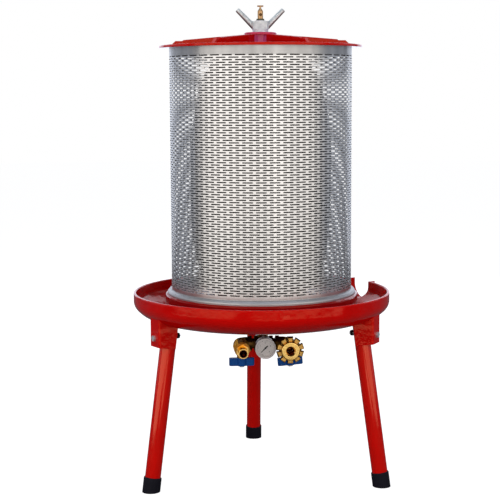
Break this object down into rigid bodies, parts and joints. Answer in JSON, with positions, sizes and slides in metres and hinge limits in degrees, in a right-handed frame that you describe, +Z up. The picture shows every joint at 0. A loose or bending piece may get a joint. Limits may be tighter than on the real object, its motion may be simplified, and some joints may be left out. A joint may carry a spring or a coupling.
{
  "type": "bladder fruit press",
  "caption": "Water-driven bladder fruit press: slotted steel basket under a ribbed lid with wing nut, on a red cast tray with splayed legs, inlet and drain valves and a pressure gauge.",
  "frame": {"origin": "on the press axis at the floor, level with the soles of the feet", "axes": "+Z up along the press axis, -Y to the front where the valves and gauge face, +X to the right"},
  "size_m": [0.5, 0.5207, 0.9133],
  "materials": {
    "red_paint": "gloss red enamel",
    "foot_rubber": "matte black",
    "zinc": "bright zinc plate",
    "dark_steel": "blackened",
    "stainless": "satin stainless",
    "bladder_rubber": "matte black",
    "brass": "machined and cast brass",
    "seat_white": "white",
    "ball_chrome": "polished",
    "handle_blue": "blue",
    "gauge_grey": "satin grey",
    "dial_face": "pale grey",
    "lens_glass": "clear",
    "needle_black": "black"
  },
  "bodies": {
    "base": {"base_tray": "red_paint", "leg_back": "red_paint", "leg_left": "red_paint", "leg_right": "red_paint", "foot_back": "foot_rubber", "foot_left": "foot_rubber", "foot_right": "foot_rubber", "leg_bolts": "zinc", "leg_nuts": "dark_steel", "standpipe": "zinc", "tray_lock_nut": "zinc", "feed_lock_nut": "zinc", "bladder_base_plate": "stainless", "bladder_lower_clamp": "stainless", "bladder_lower_nut": "zinc", "bladder_upper_clamp": "stainless", "bladder_top_plate": "stainless", "bladder_top_nut": "zinc", "bladder": "bladder_rubber", "pipe_end_plug": "zinc", "bleed_body": "brass", "supply_elbow": "zinc", "feed_nipple": "brass", "manifold_cross": "brass", "run_nipple_left": "brass", "run_nipple_right": "brass", "elbow_left": "brass", "elbow_right": "brass", "valve_nipples": "brass", "drain_valve_body": "brass", "inlet_valve_body": "brass", "drain_valve_seats": "seat_white", "inlet_valve_seats": "seat_white", "drain_gland_nut": "brass", "inlet_gland_nut": "brass", "hose_tail": "brass", "inlet_coupling": "brass", "gauge_case": "gauge_grey", "gauge_bezel": "gauge_grey", "gauge_dial": "dial_face", "gauge_lens": "lens_glass", "gauge_bourdon_tube": "brass"},
    "basket": {"basket_shell": "stainless", "basket_base_ring": "stainless"},
    "lid_body": {"lid": "red_paint"},
    "nut_carrier": {"thrust_washer": "zinc"},
    "wing_nut_body": {"wing_nut": "zinc", "wing_arms": "zinc"},
    "bleed_cock": {"bleed_plug": "brass"},
    "drain_cock": {"drain_valve_ball": "ball_chrome", "drain_valve_stem": "brass", "drain_handle": "handle_blue", "drain_handle_screw": "zinc"},
    "inlet_cock": {"inlet_valve_ball": "ball_chrome", "inlet_valve_stem": "brass", "inlet_handle": "handle_blue", "inlet_handle_screw": "zinc"},
    "swivel": {"coupling_ring": "brass"},
    "needle": {"gauge_needle": "needle_black"}
  },
  "joints": [
    {"name": "basket_lift", "type": "slide", "parent": "base", "child": "basket", "axis": [0, 0, 1], "range_m": [0, 0.6]},
    {"name": "lid_lift", "type": "slide", "parent": "basket", "child": "lid_body", "axis": [0, 0, 1], "range_m": [0, 0.15]},
    {"name": "nut_rise", "type": "slide", "parent": "lid_body", "child": "nut_carrier", "axis": [0, 0, 1], "range_m": [0, 0.0219]},
    {"name": "nut_turn", "type": "hinge", "parent": "nut_carrier", "child": "wing_nut_body", "pos_m": [0, 0, 0.875], "axis": [0, 0, 1], "range_deg": [0, 4320]},
    {"name": "bleed_turn", "type": "hinge", "parent": "base", "child": "bleed_cock", "pos_m": [0, 0, 0.9], "axis": [0, 0, 1], "range_deg": [0, 90]},
    {"name": "drain_turn", "type": "hinge", "parent": "base", "child": "drain_cock", "pos_m": [-0.045, -0.095, 0.266], "axis": [0, 0, 1], "range_deg": [0, 90]},
    {"name": "inlet_turn", "type": "hinge", "parent": "base", "child": "inlet_cock", "pos_m": [0.045, -0.095, 0.266], "axis": [-0.0872, 0, 0.9962], "range_deg": [0, 90]},
    {"name": "swivel_turn", "type": "hinge", "parent": "base", "child": "swivel", "pos_m": [0.045, -0.1245, 0.266], "axis": [0, 1, 0], "continuous": true},
    {"name": "needle_turn", "type": "hinge", "parent": "base", "child": "needle", "pos_m": [0, -0.1, 0.266], "axis": [0, 1, 0], "range_deg": [0, 270], "stiffness_Nm_per_rad": 0.0003}
  ],
  "couplings": [
    {"joint": "nut_rise", "follows": "nut_turn", "m_per_rad": 0.0002887}
  ]
}
